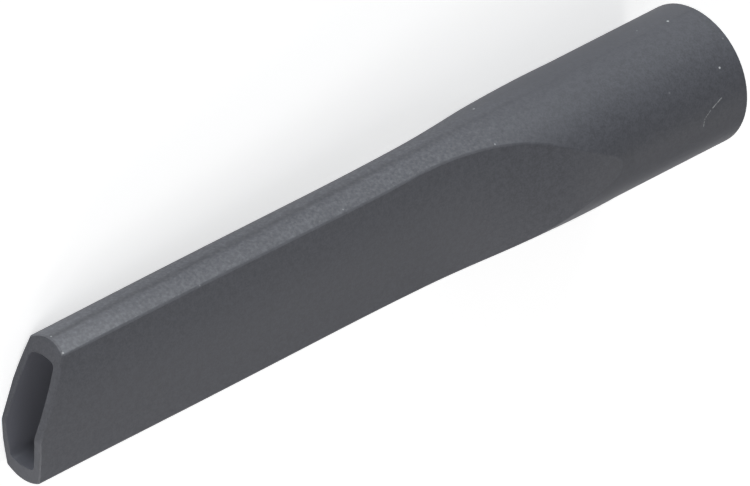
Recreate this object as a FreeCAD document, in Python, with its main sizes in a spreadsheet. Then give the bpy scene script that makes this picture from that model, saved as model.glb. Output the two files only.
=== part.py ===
import FreeCAD, Part
import math
import os
import Sketcher

# Vacuum crevice tool, moulded in one piece: a round socket that flattens into a blade with a slanted mouth.
# The origin is the centre of the socket's open end. +X leaves the socket along its axis, so the tool runs
# towards -X. Y is the blade's wide direction and Z its thickness. A station is a distance from the open end.

Vector = FreeCAD.Vector

DRIVING_SIZES = {
    # whole tool
    "tool_length": 215.2,
    "socket_radius": 18.5,
    "socket_length": 40.0,
    "mouth_half_height": 16.55,
    # crowned narrow edges, round up to the shoulder
    "round_length": 58.3,
    "shoulder_crown_radius": 13.5,
    "crown_station": 108.3,
    "crown_radius": 9.8,
    # bowed flat sides and their run-out into the socket
    "mouth_half_thickness": 6.98,
    "blade_half_thickness": 7.83,
    "side_bow_radius": 75.0,
    "runout_start": 99.6,
    "runout_turn": 62.8,
    "runout_end": 46.8,
    "runout_exit_angle": 5.0,
    # air passage
    "bore_radius": 16.0,
    "bore_depth": 40.0,
    "side_wall": 2.1,
    "crown_wall": 4.0,
    "slot_corner_round": 1.6,
    # mouth
    "kink_drop": 3.15,
    "slant_angle": 25.4,
    "kink_round": 3.0,
    # edges
    "side_edge_round": 0.8,
    "mouth_bevel": 0.3,
    "rim_bevel": 0.45,
    # reach of the cutting shapes past the faces that they cut
    "overrun": 4.0,
    "side_cut_sweep": 60.0,
}

BLADE_SECTIONS = 4

DERIVED_SIZES = {
    "taper": "( socket_radius - mouth_half_height ) / tool_length",
    "neck_radius": "socket_radius - taper * socket_length",
    "round_radius": "socket_radius - taper * round_length",
    "shoulder_station": "( round_length + crown_station ) / 2",
    "shoulder_half_height": "socket_radius - taper * shoulder_station",
    "cut_station": "tool_length + overrun",
    "section_spacing": f"( cut_station - crown_station ) / {BLADE_SECTIONS - 1}",
    "runout_radius": "socket_radius - taper * runout_end",
    "bow_axis_depth": "side_bow_radius - mouth_half_thickness",
    "side_cut_top": "socket_radius + overrun",
    "open_station": "0",
    "bore_station": "0 - overrun",
    "slot_half_height": "mouth_half_height - crown_wall",
    "slot_half_thickness": "mouth_half_thickness - side_wall",
    "passage_half_thickness": "blade_half_thickness - side_wall",
    "slant_top": "mouth_half_height + overrun",
    "slant_depth": "( slant_top + kink_drop ) * tan( slant_angle * 1 deg )",
}


def fill_sheet(doc):
    sheet = doc.addObject("Spreadsheet::Sheet", "Sizes")
    cells = {alias: str(value) for alias, value in DRIVING_SIZES.items()}
    cells.update({alias: "=" + formula for alias, formula in DERIVED_SIZES.items()})
    for row, (alias, text) in enumerate(cells.items(), start=1):
        sheet.set(f"A{row}", alias)
        sheet.set(f"B{row}", text)
        sheet.setAlias(f"B{row}", alias)
    doc.recompute()
    return sheet


def bound(formula):
    """The formula with its sizes read from the sheet."""
    sizes = {**DRIVING_SIZES, **DERIVED_SIZES}
    return " ".join(f"Sizes.{word}" if word in sizes else word for word in formula.split())


def origin_plane(body, role):
    return next(feature for feature in body.Origin.OriginFeatures if feature.Role == role)


def new_sketch(body, name, role, station="open_station"):
    """A sketch on an origin plane, or across the axis at a station."""
    sketch = body.newObject("Sketcher::SketchObject", name)
    sketch.AttachmentSupport = (origin_plane(body, role), [""])
    sketch.MapMode = "FlatFace"
    sketch.setExpression("AttachmentOffset.Base.z", bound(f"0 - {station}"))
    return sketch


def drive(sketch, kind, points, formula):
    """Adds a dimension whose value follows the sheet."""
    value = float(sketch.evalExpression(bound(formula)))
    index = sketch.addConstraint(Sketcher.Constraint(kind, *points, value))
    sketch.setExpression(f"Constraints[{index}]", bound(formula))


def place(sketch, geometry, point, across, up=None):
    """Dimensions one end of a line or arc from the sketch's origin."""
    drive(sketch, "DistanceX", (-1, 1, geometry, point), across)
    if up:
        drive(sketch, "DistanceY", (-1, 1, geometry, point), up)


def draw_polygon(sketch, corners):
    """Draws a closed outline of lines and dimensions each corner, given as two formulas."""
    values = [[float(sketch.evalExpression(bound(formula))) for formula in corner] for corner in corners]
    points = [Vector(across, up, 0) for across, up in values]
    lines = [sketch.addGeometry(Part.LineSegment(start, end), False)
             for start, end in zip(points, points[1:] + points[:1])]
    for line, following in zip(lines, lines[1:] + lines[:1]):
        sketch.addConstraint(Sketcher.Constraint("Coincident", line, 2, following, 1))
    for line, (across, up) in zip(lines, corners):
        place(sketch, line, 1, across, up)


def round_section(body, name, station, radius):
    sketch = new_sketch(body, name, "YZ_Plane", station)
    value = float(sketch.evalExpression(bound(radius)))
    sketch.addGeometry(Part.Circle(Vector(), Vector(0, 0, 1), value), False)
    sketch.addConstraint(Sketcher.Constraint("Coincident", 0, 3, -1, 1))
    drive(sketch, "Radius", (0,), radius)
    return sketch


def oval_section(body, name, station, half_height, crown):
    """An ellipse across the axis, whose ends on Y have the crown's radius."""
    sketch = new_sketch(body, name, "YZ_Plane", station)
    half_width = f"sqrt( {crown} * {half_height} )"
    height = float(sketch.evalExpression(bound(half_height)))
    width = float(sketch.evalExpression(bound(half_width)))
    sketch.addGeometry(Part.Ellipse(Vector(height, 0, 0), Vector(0, width, 0), Vector()), False)
    sketch.exposeInternalGeometry(0)
    long_axis = 1
    short_axis = 2
    sketch.addConstraint(Sketcher.Constraint("Coincident", 0, 3, -1, 1))
    sketch.addConstraint(Sketcher.Constraint("Horizontal", long_axis))
    drive(sketch, "Distance", (long_axis, 1, long_axis, 2), f"2 * {half_height}")
    drive(sketch, "Distance", (short_axis, 1, short_axis, 2), f"2 * {half_width}")
    return sketch


def turned_form(body, name, outline):
    """A form turned about the axis, from its outline given as stations and radii."""
    sketch = new_sketch(body, f"{name}Outline", "XY_Plane")
    first_station = outline[0][0]
    last_station = outline[-1][0]
    corners = [(f"0 - {station}", radius) for station, radius in outline]
    draw_polygon(sketch, corners + [(f"0 - {last_station}", "0"), (f"0 - {first_station}", "0")])
    form = body.newObject("PartDesign::Revolution", name)
    form.Profile = sketch
    form.ReferenceAxis = (sketch, ["H_Axis"])
    form.Angle = 360.0


def crowned_form(body, sections):
    """Joins the neck to the mouth through sections across the axis."""
    form = body.newObject("PartDesign::AdditiveLoft", "CrownedForm")
    form.Profile = sections[0]
    form.Sections = sections[1:]


def arc_between(centre, first, last):
    circle = Part.Circle(centre, Vector(0, 0, 1), (first - centre).Length)
    angles = [math.atan2(point.y - centre.y, point.x - centre.x) for point in (first, last)]
    return Part.ArcOfCircle(circle, angles[0], angles[1])


def draw_side_outline(sketch, sheet, mouth_half, blade_half, end_radius):
    """The space beside one flat side: a straight run, a hollow and a crest that ends on the round form."""
    mouth = Vector(-sheet.cut_station, sheet.get(mouth_half), 0)
    start = Vector(-sheet.runout_start, sheet.get(blade_half), 0)
    end = Vector(-sheet.runout_end, sheet.get(end_radius), 0)
    share = (sheet.runout_start - sheet.runout_turn) / (sheet.runout_start - sheet.runout_end)
    turn = start + (end - start) * share
    both_radii = (end - start).Length ** 2 / (2 * (end.y - start.y))
    hollow_centre = start + Vector(0, both_radii * share, 0)
    crest_centre = end - Vector(0, both_radii * (1 - share), 0)
    front_low = Vector(sheet.overrun, end.y, 0)
    front_top = Vector(sheet.overrun, sheet.side_cut_top, 0)
    back_top = Vector(mouth.x, sheet.side_cut_top, 0)
    axis_depth = Vector(0, -sheet.bow_axis_depth, 0)

    side = sketch.addGeometry(Part.LineSegment(mouth, start), False)
    hollow = sketch.addGeometry(arc_between(hollow_centre, start, turn), False)
    crest = sketch.addGeometry(arc_between(crest_centre, end, turn), False)
    way_out = sketch.addGeometry(Part.LineSegment(end, front_low), False)
    front = sketch.addGeometry(Part.LineSegment(front_low, front_top), False)
    lid = sketch.addGeometry(Part.LineSegment(front_top, back_top), False)
    back = sketch.addGeometry(Part.LineSegment(back_top, mouth), False)
    bow_axis = sketch.addGeometry(Part.LineSegment(Vector(mouth.x, 0, 0) + axis_depth, axis_depth), True)

    sketch.addConstraint(Sketcher.Constraint("Tangent", side, 2, hollow, 1))
    sketch.addConstraint(Sketcher.Constraint("Tangent", hollow, 2, crest, 2))
    sketch.addConstraint(Sketcher.Constraint("Tangent", crest, 1, way_out, 1))
    for line, following in ((way_out, front), (front, lid), (lid, back), (back, side)):
        sketch.addConstraint(Sketcher.Constraint("Coincident", line, 2, following, 1))
    sketch.addConstraint(Sketcher.Constraint("Vertical", front))
    sketch.addConstraint(Sketcher.Constraint("Horizontal", lid))
    sketch.addConstraint(Sketcher.Constraint("Vertical", back))
    sketch.addConstraint(Sketcher.Constraint("Horizontal", bow_axis))
    place(sketch, side, 1, "0 - cut_station", mouth_half)
    place(sketch, side, 2, "0 - runout_start", blade_half)
    place(sketch, hollow, 2, "0 - runout_turn")
    place(sketch, crest, 1, "0 - runout_end", end_radius)
    place(sketch, front, 2, "overrun", "side_cut_top")
    place(sketch, bow_axis, 1, "0 - cut_station", "0 - bow_axis_depth")
    place(sketch, bow_axis, 2, "open_station")
    exit_slope = math.radians(sheet.runout_exit_angle)
    index = sketch.addConstraint(Sketcher.Constraint("Angle", way_out, exit_slope))
    sketch.setExpression(f"Constraints[{index}]", bound("runout_exit_angle * 1 deg"))


def flat_sides(body, sheet, mouth_half, blade_half, end_radius):
    """Cuts both sides flat, turned about a far axis so that they bow a little across the blade."""
    sketch = new_sketch(body, "SideOutline", "XZ_Plane")
    draw_side_outline(sketch, sheet, mouth_half, blade_half, end_radius)
    side_cut = body.newObject("PartDesign::Groove", "SideCut")
    side_cut.Profile = sketch
    side_cut.ReferenceAxis = (sketch, ["Axis0"])
    side_cut.Midplane = True
    side_cut.setExpression("Angle", bound("side_cut_sweep"))
    both_sides = body.newObject("PartDesign::Mirrored", "BothSides")
    both_sides.Originals = [side_cut]
    both_sides.MirrorPlane = (origin_plane(body, "XY_Plane"), [""])
    body.Tip = both_sides


def draw_mouth_outline(sketch, sheet):
    """The space before the mouth: square below the bend, then set back along a slant."""
    turn = math.radians(sheet.slant_angle)
    slant_way = Vector(math.sin(turn), math.cos(turn), 0)
    bend = Vector(-sheet.tool_length, -sheet.kink_drop, 0)
    tangent_length = sheet.kink_round * math.tan(turn / 2)
    square_end = bend - Vector(0, tangent_length, 0)
    slant_start = bend + slant_way * tangent_length
    bend_centre = square_end + Vector(sheet.kink_round, 0, 0)
    low_front = Vector(-sheet.tool_length, -sheet.slant_top, 0)
    slant_end = Vector(sheet.slant_depth - sheet.tool_length, sheet.slant_top, 0)
    high_back = Vector(-sheet.cut_station, sheet.slant_top, 0)
    low_back = Vector(-sheet.cut_station, -sheet.slant_top, 0)

    square = sketch.addGeometry(Part.LineSegment(low_front, square_end), False)
    bend_arc = sketch.addGeometry(arc_between(bend_centre, slant_start, square_end), False)
    slant = sketch.addGeometry(Part.LineSegment(slant_start, slant_end), False)
    lid = sketch.addGeometry(Part.LineSegment(slant_end, high_back), False)
    back = sketch.addGeometry(Part.LineSegment(high_back, low_back), False)
    floor = sketch.addGeometry(Part.LineSegment(low_back, low_front), False)

    sketch.addConstraint(Sketcher.Constraint("Tangent", square, 2, bend_arc, 2))
    sketch.addConstraint(Sketcher.Constraint("Tangent", bend_arc, 1, slant, 1))
    for line, following in ((slant, lid), (lid, back), (back, floor), (floor, square)):
        sketch.addConstraint(Sketcher.Constraint("Coincident", line, 2, following, 1))
    sketch.addConstraint(Sketcher.Constraint("Vertical", square))
    drive(sketch, "Radius", (bend_arc,), "kink_round")
    place(sketch, square, 1, "0 - tool_length", "0 - slant_top")
    place(sketch, slant, 2, "slant_depth - tool_length", "slant_top")
    place(sketch, lid, 2, "0 - cut_station", "slant_top")
    place(sketch, back, 2, "0 - cut_station", "0 - slant_top")
    index = sketch.addConstraint(Sketcher.Constraint("Angle", slant, math.pi / 2 - turn))
    sketch.setExpression(f"Constraints[{index}]", bound("90 deg - slant_angle * 1 deg"))


def edge_names(shape, wanted):
    return [f"Edge{number}" for number, edge in enumerate(shape.Edges, start=1) if wanted(edge)]


def lengthwise(edge):
    """True on the edges that part a flat side from a crowned edge."""
    tolerance = 0.01
    return edge.BoundBox.XLength > tolerance and abs(edge.CenterOfMass.z) > tolerance


def end_edges(shape, direction):
    """The outline of the end faces that look along X in the given direction."""
    least_slope = 0.75

    def looks_out(face):
        first_u, last_u, first_v, last_v = face.ParameterRange
        normal = face.normalAt((first_u + last_u) / 2, (first_v + last_v) / 2)
        return normal.x * direction > least_slope

    ends = [face for face in shape.Faces if looks_out(face)]

    def on_outline(edge):
        return sum(any(edge.isSame(other) for other in face.Edges) for face in ends) == 1

    return edge_names(shape, on_outline)


def dress(body, kind, name, names):
    """Adds a fillet or bevel on named edges of the body's last feature."""
    base = body.Tip
    feature = body.newObject(kind, name)
    feature.Base = (base, names)
    return feature


def round_edges(body, name, radius, names):
    fillet = dress(body, "PartDesign::Fillet", name, names)
    fillet.setExpression("Radius", bound(radius))
    body.Document.recompute()


def bevel_edges(body, name, size, names):
    chamfer = dress(body, "PartDesign::Chamfer", name, names)
    chamfer.setExpression("Size", bound(size))
    body.Document.recompute()


def build_passage(doc, sheet):
    """The air passage: a round bore that narrows to the slot in the blade."""
    body = doc.addObject("PartDesign::Body", "Passage")
    turned_form(body, "Bore", [
        ("cut_station", "slot_half_height"),
        ("bore_depth", "bore_radius"),
        ("bore_station", "bore_radius"),
    ])
    flat_sides(body, sheet, "slot_half_thickness", "passage_half_thickness", "bore_radius")
    doc.recompute()
    round_edges(body, "SlotCorners", "slot_corner_round", edge_names(body.Shape, lengthwise))
    return body


def build_nozzle(doc, sheet):
    body = doc.addObject("PartDesign::Body", "Nozzle")
    body.Label = "crevice_nozzle"
    turned_form(body, "Socket", [("socket_length", "neck_radius"), ("open_station", "socket_radius")])
    sections = [
        round_section(body, "Neck", "socket_length", "neck_radius"),
        round_section(body, "RoundEnd", "round_length", "round_radius"),
        oval_section(body, "Shoulder", "shoulder_station", "shoulder_half_height", "shoulder_crown_radius"),
    ]
    for step in range(BLADE_SECTIONS):
        station = f"( crown_station + {step} * section_spacing )"
        half_height = f"( socket_radius - taper * {station} )"
        sections.append(oval_section(body, "Blade", station, half_height, "crown_radius"))
    crowned_form(body, sections)
    flat_sides(body, sheet, "mouth_half_thickness", "blade_half_thickness", "runout_radius")
    doc.recompute()
    side_edges = edge_names(body.Shape, lengthwise)
    round_edges(body, "SideEdges", "side_edge_round", side_edges)

    mouth_outline = new_sketch(body, "MouthOutline", "XY_Plane")
    draw_mouth_outline(mouth_outline, sheet)
    mouth_cut = body.newObject("PartDesign::Pocket", "SlantedMouth")
    mouth_cut.Profile = mouth_outline
    mouth_cut.Type = "ThroughAll"
    mouth_cut.Midplane = True
    doc.recompute()

    bevel_edges(body, "MouthEdges", "mouth_bevel", end_edges(body.Shape, -1))
    bevel_edges(body, "RimEdge", "rim_bevel", end_edges(body.Shape, 1))

    hollow = body.newObject("PartDesign::Boolean", "Hollow")
    hollow.Type = "Cut"
    hollow.setObjects([build_passage(doc, sheet)])
    body.Tip = hollow
    doc.recompute()
    return body


def check(doc, body):
    for item in doc.Objects:
        if "Invalid" in item.State or "Error" in item.State:
            raise RuntimeError(f"{item.Label} failed: {item.getStatusString()}")
    if body.Shape.isNull() or not body.Shape.isValid() or len(body.Shape.Solids) != 1:
        raise RuntimeError(f"{body.Label} is not one valid solid")


doc = FreeCAD.newDocument("CreviceTool")
sheet = fill_sheet(doc)
nozzle = build_nozzle(doc, sheet)
check(doc, nozzle)
os.makedirs("parts", exist_ok=True)
nozzle.Shape.exportStep(f"parts/{nozzle.Label}.step")
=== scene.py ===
import math

import bpy
from mathutils import Matrix, Vector

# Looks of a vacuum crevice tool moulded in dark grey plastic, in the frame of the part: +X leaves the socket,
# Y is the blade's wide direction and Z its thickness. The tool lies on one of its flat sides. Lengths are in
# metres, and in millimetres where a name says so.

NODE = "crevice_nozzle"
MM_PER_METRE = 1000.0

# Camera: where it stands around the middle of the tool, with +Y upwards in the picture
CAMERA_AZIMUTH = math.radians(46.556)
CAMERA_ELEVATION = math.radians(31.997)
CAMERA_ROLL = math.radians(-0.516)
CAMERA_DISTANCE = 0.9826
CAMERA_SIDESTEP = 0.00053
CAMERA_RISE = 0.00192
AIM = Vector((-0.10762, 0.0, 0.0))
SENSOR_WIDTH = 36.0
LENS = 203.44

# Studio: two lights off the narrow edge at +Y, a strip off the one at -Y, and fills near the socket and the
# mouth. The floor glows for the camera, and by a share of that in the plastic's sheen.
WORLD_LEVEL = 0.20
FLOOR_SIZE = 6.0
FLOOR_COLOUR = (0.88, 0.88, 0.88, 1.0)
FLOOR_GLOW = 0.58
FLOOR_SHEEN = 0.45
LIGHTS = {
    # name: place, width, height, level of its face, colour
    "upper_key": ((0.0, 0.799, 0.046), 0.40, 0.11, 18.8, (0.96, 1.0, 1.03)),
    "upper_fill": ((0.10, 0.742, 0.300), 0.50, 0.28, 3.5, (0.96, 1.0, 1.03)),
    "lower_strip": ((-0.35, -0.655, 0.245), 0.90, 0.18, 5.1, (1.0, 1.0, 1.0)),
    "socket_fill": ((0.30, -0.450, 0.536), 0.40, 0.16, 2.8, (1.0, 1.0, 1.0)),
    "mouth_fill": ((-0.90, -0.16, 0.38), 0.40, 0.30, 5.3, (1.0, 1.0, 1.0)),
}

# Rest: the floor touches the tool this close to the mouth's tip, and again at least the span beyond
MOUTH_REACH = 0.012
REST_SPAN = 0.06

# Faces: the share of a face's direction along an axis at which a finish starts and is full
EDGE_FACING = (0.8, 0.95)
CROWN_FACING = (0.6, 0.78)
CREASE_STARTS = (0.3, 0.4)
CREASE_ENDS = (0.8, 0.7)
END_FACING = (0.4, 0.2)

# Noise: octaves of a smooth and of a rough one
SMOOTH = 2.0
ROUGH = 4.0

# Plastic: a mottled tone with a moulded grain, in millimetres
PLASTIC_DARK = (0.0825, 0.085, 0.097, 1.0)
PLASTIC_PALE = (0.118, 0.1215, 0.1385, 1.0)
PLASTIC_IOR = 1.47
ROUGHNESS = (0.44, 0.56)
GRAIN_SIZE_MM = 0.45
GRAIN_DEPTH_MM = 0.012
MOTTLE_SIZE_MM = 1.3
MOTTLE_SHARE = 0.45
VARIATION = (0.3, 0.7)

# Painted light in the passage: its walls, the faces that look towards the tool's axis from this far, are
# painted paler than the plastic to lift the shade inside
PASSAGE_INWARDS_MM = (-0.5, -2.0)
PASSAGE_PAINTED_LIGHT = (0.180, 0.184, 0.212, 1.0)

# Line left by the two halves of the mould along the middle of both narrow edges: it wavers, and grows from
# the socket to the mouth
PARTING_HALF_WIDTH_MM = 1.5
PARTING_WAVER_MM = 0.8
PARTING_WAVER_LENGTH_MM = 14.0
PARTING_DEPTH_MM = 0.01
PARTING_TONE = (0.045, 0.046, 0.052, 1.0)
PARTING_GROWS_MM = (-40.0, -125.0)
PARTING_SHARES = (0.08, 0.42)

# Rubbed grain flecks on the blade's narrow edges, with painted highlights: the edges are painted palest at
# the mouth, and a thin highlight is painted along the creases beside them
RUBBED_AND_HIGHLIGHT_TONE = (0.26, 0.265, 0.285, 1.0)
RUBBED_SIZE_MM = 0.8
RUBBED_FLECKS = (0.29, 0.92)
RUBBED_START_MM = (-45.0, -100.0)
MOUTH_HIGHLIGHT_MM = (-165.0, -214.0)
RUBBED_SHARE = 0.54
MOUTH_HIGHLIGHT_SHARE = 0.26
CREASE_HIGHLIGHT_SHARE = 0.25

# Marks of use, in millimetres: specks with a solid core, and scratches broken up by the grain
DUST_TONE = (0.62, 0.63, 0.64, 1.0)
SPECK_CORE = 0.4
SCRATCH_BREAKS = (0.3, 0.6)
SPECKS = {
    # place: radius, strength
    (-9.6, 18.4, -0.1): (0.42, 1.0),
    (-7.2, 10.6, 15.1): (0.38, 1.0),
    (-71.6, 17.1, -4.6): (0.40, 0.8),
    (-77.4, 15.3, 8.2): (0.30, 0.5),
    (-24.8, 10.6, 14.9): (0.35, 0.15),
    (-18.1, 18.2, -2.4): (0.35, 0.2),
    (-1.7, 14.9, 10.9): (0.35, 0.2),
    (-205.2, 16.6, 0.1): (0.30, 0.6),
    (-206.2, 15.2, 5.1): (0.34, 0.8),
    (-123.2, 15.8, 5.2): (0.30, 0.3),
    (-167.2, 15.3, 5.7): (0.30, 0.3),
}
SCRATCHES = (
    # start, end and strength
    ((-9.3, 4.2, 17.9), (-12.6, 2.8, 18.1), 0.9),
    ((-13.4, 2.4, 18.2), (-15.5, 1.1, 18.3), 0.5),
    ((-15.5, 1.1, 18.3), (-15.9, -0.9, 18.3), 0.5),
)
SCRATCH_HALF_WIDTH_MM = 0.24


class Nodes:
    """Builds the node tree of one material."""

    def __init__(self, name):
        self.material = bpy.data.materials.new(name)
        self.material.use_nodes = True
        self.tree = self.material.node_tree
        self.tree.nodes.clear()

    def add(self, kind, inputs, output=0, **settings):
        """Adds a node with its settings and inputs, and gives one of its outputs."""
        node = self.tree.nodes.new(kind)
        for name, value in settings.items():
            setattr(node, name, value)
        for socket, value in inputs.items():
            if isinstance(value, bpy.types.NodeSocket):
                self.tree.links.new(value, node.inputs[socket])
            else:
                node.inputs[socket].default_value = value
        return node.outputs[output]

    def math(self, operation, first, second=0.0):
        return self.add("ShaderNodeMath", {0: first, 1: second}, operation=operation)

    def vector(self, operation, first, second, output="Vector"):
        return self.add("ShaderNodeVectorMath", {0: first, 1: second}, output, operation=operation)

    def scaled(self, vector, factor):
        return self.add("ShaderNodeVectorMath", {0: vector, "Scale": factor}, operation="SCALE")

    def part(self, vector, axis):
        return self.add("ShaderNodeSeparateXYZ", {0: vector}, axis)

    def between(self, value, low, high, to_low=0.0, to_high=1.0):
        """Runs smoothly from one level to another as the value goes from low to high."""
        inputs = {"Value": value, "From Min": low, "From Max": high, "To Min": to_low, "To Max": to_high}
        return self.add("ShaderNodeMapRange", inputs, interpolation_type="SMOOTHSTEP")

    def noise(self, place, size, detail):
        return self.add("ShaderNodeTexNoise", {"Vector": place, "Scale": 1 / size, "Detail": detail}, "Fac")

    def mix(self, share, first, second):
        return self.add("ShaderNodeMix", {0: share, 6: first, 7: second}, 2, data_type="RGBA")

    def finish(self, surface):
        output = self.tree.nodes.new("ShaderNodeOutputMaterial")
        self.tree.links.new(surface, output.inputs["Surface"])
        return self.material


def aim_camera():
    """Looks at the tool's middle from its mouth end and near side."""
    flat = math.cos(CAMERA_ELEVATION)
    across, along = flat * math.sin(CAMERA_AZIMUTH), flat * math.cos(CAMERA_AZIMUTH)
    towards = Vector((-along, math.sin(CAMERA_ELEVATION), across))
    level = Vector((0.0, 1.0, 0.0)).cross(towards).normalized()
    upright = towards.cross(level)
    right = math.cos(CAMERA_ROLL) * level + math.sin(CAMERA_ROLL) * upright
    up = towards.cross(right)
    place = AIM + CAMERA_DISTANCE * towards - CAMERA_SIDESTEP * right - CAMERA_RISE * up
    data = bpy.data.cameras.new("camera")
    data.lens = LENS
    data.sensor_width = SENSOR_WIDTH
    camera = bpy.data.objects.new("camera", data)
    bpy.context.scene.collection.objects.link(camera)
    turn = Matrix((right, up, towards)).transposed().to_4x4()
    camera.matrix_world = Matrix.Translation(place) @ turn
    bpy.context.scene.camera = camera


def resting_floor(node):
    """The point under the mouth and the slope at which a floor touches the mouth's side and the socket."""
    points = [vertex.co for vertex in node.data.vertices]
    mouth_end = min(point.x for point in points) + MOUTH_REACH
    mouth = min((point for point in points if point.x < mouth_end), key=lambda point: point.z)
    beyond = [point for point in points if point.x > mouth.x + REST_SPAN]
    slope = max((mouth.z - point.z) / (point.x - mouth.x) for point in beyond)
    return mouth, slope


def add_floor(node):
    mouth, slope = resting_floor(node)
    half = FLOOR_SIZE / 2
    mesh = bpy.data.meshes.new("floor")
    corners = [(x, y, -slope * x) for x, y in ((-half, -half), (half, -half), (half, half), (-half, half))]
    mesh.from_pydata(corners, [], [(0, 1, 2, 3)])
    floor = bpy.data.objects.new("floor", mesh)
    floor.location = mouth
    bpy.context.scene.collection.objects.link(floor)
    mesh.materials.append(floor_material())


def floor_material():
    """A white floor that looks brighter than it is to the camera and in sheen, so that its shadow is soft."""
    nodes = Nodes("floor_white")
    surface = nodes.add("ShaderNodeBsdfDiffuse", {"Color": FLOOR_COLOUR})
    glow = nodes.add("ShaderNodeEmission", {"Strength": FLOOR_GLOW})
    lit = nodes.add("ShaderNodeAddShader", {0: surface, 1: glow})
    by_camera = nodes.add("ShaderNodeLightPath", {}, "Is Camera Ray")
    in_sheen = nodes.add("ShaderNodeLightPath", {}, "Is Glossy Ray")
    seen = nodes.math("MAXIMUM", by_camera, nodes.math("MULTIPLY", in_sheen, FLOOR_SHEEN))
    return nodes.finish(nodes.add("ShaderNodeMixShader", {0: seen, 1: surface, 2: lit}))


def add_lights():
    for name, (place, width, height, level, colour) in LIGHTS.items():
        data = bpy.data.lights.new(name, "AREA")
        data.shape = "RECTANGLE"
        data.size = width
        data.size_y = height
        data.energy = level * math.pi * width * height
        data.color = colour
        lamp = bpy.data.objects.new(name, data)
        lamp.location = place
        lamp.rotation_euler = (AIM - Vector(place)).to_track_quat("-Z", "Y").to_euler()
        bpy.context.scene.collection.objects.link(lamp)


def set_world():
    world = bpy.data.worlds.new("studio")
    world.use_nodes = True
    background = world.node_tree.nodes["Background"]
    background.inputs["Color"].default_value = (1.0, 1.0, 1.0, 1.0)
    background.inputs["Strength"].default_value = WORLD_LEVEL
    bpy.context.scene.world = world


def outwards(nodes, place, facing, axis):
    """How squarely a face looks away from the tool's middle along an axis."""
    side = nodes.math("SIGN", nodes.part(place, axis))
    return nodes.math("MULTIPLY", nodes.part(facing, axis), side)


def along_tool(nodes, facing):
    """1 on the faces that run along the tool, and 0 on its ends."""
    return nodes.between(nodes.math("ABSOLUTE", nodes.part(facing, "X")), *END_FACING)


def passage(nodes, place, facing):
    """1 on the walls that look inwards, which are painted paler as painted light."""
    around = nodes.vector("MULTIPLY", place, (0.0, 1.0, 1.0))
    inwards = nodes.between(nodes.vector("DOT_PRODUCT", around, facing, "Value"), *PASSAGE_INWARDS_MM)
    return nodes.math("MULTIPLY", inwards, along_tool(nodes, facing))


def parting_line(nodes, place, on_edge):
    """How strongly the line of the mould shows."""
    waver = nodes.math("SUBTRACT", nodes.noise(place, PARTING_WAVER_LENGTH_MM, SMOOTH), 0.5)
    middle = nodes.math("MULTIPLY", waver, PARTING_WAVER_MM)
    across = nodes.math("ABSOLUTE", nodes.math("SUBTRACT", nodes.part(place, "Z"), middle))
    share = nodes.between(nodes.part(place, "X"), *PARTING_GROWS_MM, *PARTING_SHARES)
    line = nodes.math("MULTIPLY", nodes.between(across, PARTING_HALF_WIDTH_MM, 0.0), share)
    return nodes.math("MULTIPLY", line, on_edge)


def rubbed_and_highlight(nodes, place, facing):
    """Wear flecks on the blade's narrow edges, a pale end at the mouth that is a painted highlight, and a
    thin painted highlight along the creases.
    """
    along = nodes.part(place, "X")
    flecks = nodes.between(nodes.noise(place, RUBBED_SIZE_MM, ROUGH), *RUBBED_FLECKS)
    on_blade = nodes.between(along, *RUBBED_START_MM)
    share = nodes.math("MULTIPLY", flecks, nodes.between(along, *RUBBED_START_MM, 0.0, RUBBED_SHARE))
    # painted highlight: the narrow edges grow paler towards the mouth
    share = nodes.math("ADD", share, nodes.between(along, *MOUTH_HIGHLIGHT_MM, 0.0, MOUTH_HIGHLIGHT_SHARE))
    turned = outwards(nodes, place, facing, "Y")
    # painted highlight: a thin pale rub along the creases
    crease_end = nodes.between(turned, *CREASE_ENDS, 0.0, CREASE_HIGHLIGHT_SHARE)
    crease = nodes.math("MULTIPLY", nodes.between(turned, *CREASE_STARTS), crease_end)
    crease = nodes.math("MULTIPLY", crease, nodes.math("MULTIPLY", on_blade, along_tool(nodes, facing)))
    crown = nodes.math("MULTIPLY", share, nodes.between(turned, *CROWN_FACING))
    return nodes.math("MAXIMUM", crown, crease)


def speck(nodes, place, spot, radius, strength):
    """Full strength in the core of a spot, and 0 from its radius outwards."""
    distance = nodes.vector("DISTANCE", place, spot, "Value")
    return nodes.between(distance, radius, SPECK_CORE * radius, 0.0, strength)


def scratch(nodes, place, start, end, strength):
    """Full strength on the straight way from start to end."""
    way = Vector(end) - Vector(start)
    from_start = nodes.vector("SUBTRACT", place, start)
    along = nodes.vector("DOT_PRODUCT", from_start, way / way.length_squared, "Value")
    share = nodes.add("ShaderNodeClamp", {"Value": along})
    nearest = nodes.scaled(way, share)
    distance = nodes.vector("DISTANCE", from_start, nearest, "Value")
    return nodes.between(distance, SCRATCH_HALF_WIDTH_MM, 0.0, 0.0, strength)


def use_marks(nodes, place, grain):
    """Dust specks, and scratches broken up by the grain."""
    broken = nodes.between(grain, *SCRATCH_BREAKS)
    marks = [nodes.math("MULTIPLY", scratch(nodes, place, *line), broken) for line in SCRATCHES]
    marks += [speck(nodes, place, spot, radius, strength) for spot, (radius, strength) in SPECKS.items()]
    whole = marks[0]
    for mark in marks[1:]:
        whole = nodes.math("MAXIMUM", whole, mark)
    return whole


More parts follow.
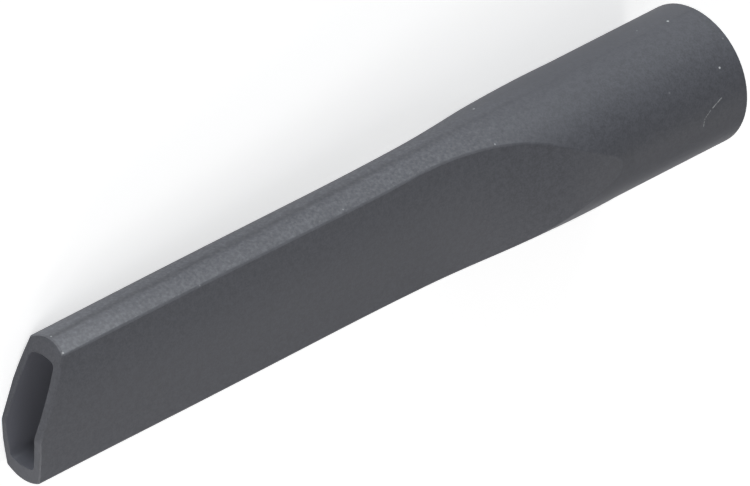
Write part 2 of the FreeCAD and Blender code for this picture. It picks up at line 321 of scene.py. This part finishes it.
def plastic_material():
    nodes = Nodes("moulded_plastic")
    place = nodes.scaled(nodes.add("ShaderNodeTexCoord", {}, "Object"), MM_PER_METRE)
    facing = nodes.add("ShaderNodeTexCoord", {}, "Normal")
    grain = nodes.noise(place, GRAIN_SIZE_MM, SMOOTH)
    mottle = nodes.noise(place, MOTTLE_SIZE_MM, ROUGH)
    on_edge = nodes.between(outwards(nodes, place, facing, "Y"), *EDGE_FACING)
    line = parting_line(nodes, place, on_edge)

    variation = nodes.add("ShaderNodeMix", {0: MOTTLE_SHARE, 2: grain, 3: mottle})
    tone = nodes.mix(nodes.between(variation, *VARIATION), PLASTIC_DARK, PLASTIC_PALE)
    # painted light: the inward walls of the passage are painted paler to lift their shade
    tone = nodes.mix(passage(nodes, place, facing), tone, PASSAGE_PAINTED_LIGHT)
    # rubbed wear flecks, with painted highlights at the mouth end and along the creases
    tone = nodes.mix(rubbed_and_highlight(nodes, place, facing), tone, RUBBED_AND_HIGHLIGHT_TONE)
    tone = nodes.mix(line, tone, PARTING_TONE)
    tone = nodes.mix(use_marks(nodes, place, grain), tone, DUST_TONE)
    roughness = nodes.between(variation, *VARIATION, *ROUGHNESS)

    grain_height = nodes.math("MULTIPLY", grain, GRAIN_DEPTH_MM)
    height = nodes.math("SUBTRACT", grain_height, nodes.math("MULTIPLY", line, PARTING_DEPTH_MM))
    bump = nodes.add("ShaderNodeBump", {"Distance": 1 / MM_PER_METRE, "Height": height}, "Normal")
    shader = nodes.add("ShaderNodeBsdfPrincipled", {
        "Base Color": tone, "Roughness": roughness, "IOR": PLASTIC_IOR, "Normal": bump})
    return nodes.finish(shader)


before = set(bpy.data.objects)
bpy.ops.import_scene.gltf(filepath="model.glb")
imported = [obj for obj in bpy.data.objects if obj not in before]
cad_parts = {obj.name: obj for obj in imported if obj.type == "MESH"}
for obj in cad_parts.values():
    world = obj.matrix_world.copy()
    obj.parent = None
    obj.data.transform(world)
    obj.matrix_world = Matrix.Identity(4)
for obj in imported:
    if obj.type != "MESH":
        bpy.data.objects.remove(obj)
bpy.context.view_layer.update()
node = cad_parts[NODE]
bpy.context.scene.view_settings.view_transform = "Standard"
aim_camera()
add_floor(node)
add_lights()
set_world()
node.data.materials.clear()
node.data.materials.append(plastic_material())
